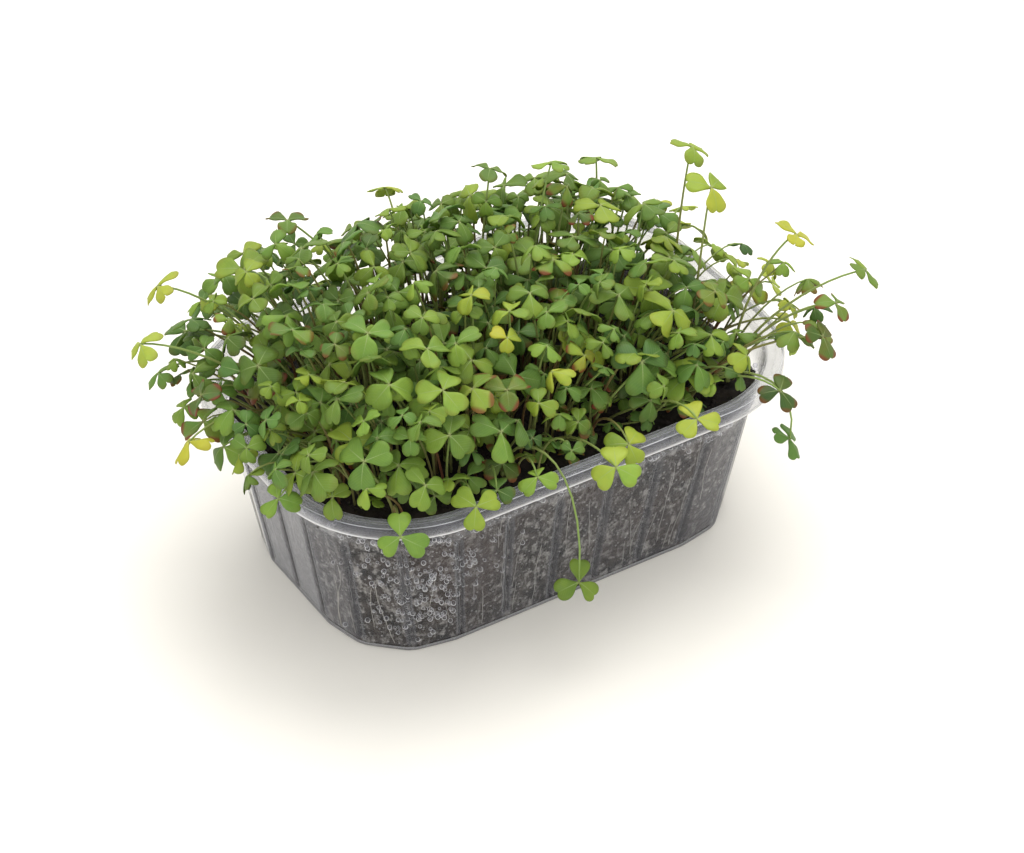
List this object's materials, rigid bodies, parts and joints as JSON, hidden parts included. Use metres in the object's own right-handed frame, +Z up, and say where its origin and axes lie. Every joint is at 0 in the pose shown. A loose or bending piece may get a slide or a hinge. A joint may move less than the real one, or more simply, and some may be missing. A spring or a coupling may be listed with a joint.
{
  "type": "microgreens tray",
  "caption": "Clear ribbed punnet of damp compost with a dense, loose canopy of small three-leaflet seedlings that spills over its rim.",
  "frame": {"origin": "middle of the punnet's flat underside", "axes": "+X along the punnet's length, +Z up out of its mouth, -Y towards the long side seen in the picture"},
  "size_m": [0.2033, 0.1447, 0.109],
  "materials": {
    "clear_sheet": "clear thermoformed sheet, glossy, faintly lavender at its edges",
    "compost": "damp dark peat compost, matt, with pale fine roots",
    "leaf_bright": "young leaf, yellow-green, soft satin",
    "leaf_mid": "leaf, fresh green, soft satin",
    "leaf_deep": "leaf, deep green, soft satin"
  },
  "bodies": {
    "root": {"tray": "clear_sheet", "soil": "compost", "plant_01": "leaf_bright", "plant_02": "leaf_bright", "plant_03": "leaf_bright", "plant_04": "leaf_bright", "plant_05": "leaf_bright", "plant_06": "leaf_bright", "plant_07": "leaf_bright", "plant_08": "leaf_bright", "plant_09": "leaf_mid", "plant_10": "leaf_bright", "plant_11": "leaf_bright", "plant_12": "leaf_mid", "plant_13": "leaf_bright", "plant_14": "leaf_bright", "plant_15": "leaf_mid", "plant_16": "leaf_bright", "plant_17": "leaf_mid", "plant_18": "leaf_mid", "plant_19": "leaf_bright", "plant_20": "leaf_mid", "plant_21": "leaf_mid", "plant_22": "leaf_bright", "plant_23": "leaf_mid", "plant_24": "leaf_mid", "plant_25": "leaf_mid", "plant_26": "leaf_mid", "plant_27": "leaf_deep", "plant_28": "leaf_mid", "plant_29": "leaf_mid", "plant_30": "leaf_deep", "plant_31": "leaf_mid", "plant_32": "leaf_mid", "plant_33": "leaf_deep", "plant_34": "leaf_mid", "plant_35": "leaf_deep", "plant_36": "leaf_deep", "plant_37": "leaf_mid", "plant_38": "leaf_deep", "plant_39": "leaf_deep", "plant_40": "leaf_mid"}
  },
  "joints": []
}
